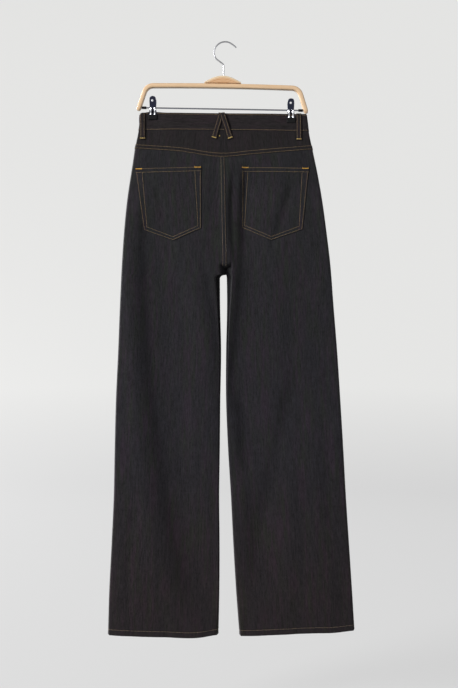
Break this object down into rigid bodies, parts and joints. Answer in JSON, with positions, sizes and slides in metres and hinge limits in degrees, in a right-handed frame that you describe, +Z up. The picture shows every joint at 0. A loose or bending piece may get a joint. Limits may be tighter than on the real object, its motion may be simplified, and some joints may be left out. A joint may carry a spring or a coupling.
{
  "type": "wide leg denim jeans on a clip hanger",
  "caption": "Dark raw denim jeans with wide straight legs, yoke, patch back pockets and crossed belt loops, clipped by the waist to a bent wood hanger.",
  "frame": {"origin": "inside top of the hanger's hook, the point it hangs from", "axes": "+Z up, +X to the right when the back of the jeans is seen, -Y towards whoever sees that back, so the front of the jeans faces +Y"},
  "size_m": [0.5118, 0.0465, 1.2372],
  "materials": {
    "raw_denim": "stiff unwashed denim, nearly black, with fine vertical slub streaks",
    "topstitch": "golden tobacco sewing thread, on the stitch rows and bar tacks",
    "zip_tape": "black woven tape",
    "aged_brass": "dull aged brass",
    "pale_pine": "satin lacquer",
    "laminated_pine": "satin lacquer, redder glued layers",
    "bright_steel": "polished steel wire and pressed clips",
    "black_rubber": "matt black rubber"
  },
  "bodies": {
    "root": {"back_panel_left": "raw_denim", "back_panel_right": "raw_denim", "front_panel_left": "raw_denim", "front_panel_right": "raw_denim", "yoke_left": "raw_denim", "yoke_right": "raw_denim", "waistband_back_left": "raw_denim", "waistband_back_right": "raw_denim", "waistband_front_left": "raw_denim", "waistband_front_right": "raw_denim", "back_pocket_left": "raw_denim", "back_pocket_right": "raw_denim", "belt_loop_back_left": "raw_denim", "belt_loop_back_right": "raw_denim", "belt_loop_cross_under": "raw_denim", "belt_loop_cross_over": "raw_denim", "belt_loop_front_left": "raw_denim", "belt_loop_front_right": "raw_denim", "pocket_facing_left": "raw_denim", "pocket_facing_right": "raw_denim", "fly_placket": "raw_denim", "zip_tape": "zip_tape", "button": "aged_brass", "hanger_bow": "pale_pine", "hanger_crown": "laminated_pine", "hanger_hook": "bright_steel", "hanger_rod": "bright_steel", "rod_stopper_left": "black_rubber", "rod_stopper_right": "black_rubber", "clip_left_barrel": "bright_steel", "clip_left_jaw_back": "bright_steel", "clip_left_jaw_front": "bright_steel", "clip_left_pad_back": "black_rubber", "clip_left_pad_front": "black_rubber", "clip_right_barrel": "bright_steel", "clip_right_jaw_back": "bright_steel", "clip_right_jaw_front": "bright_steel", "clip_right_pad_back": "black_rubber", "clip_right_pad_front": "black_rubber"}
  },
  "joints": []
}
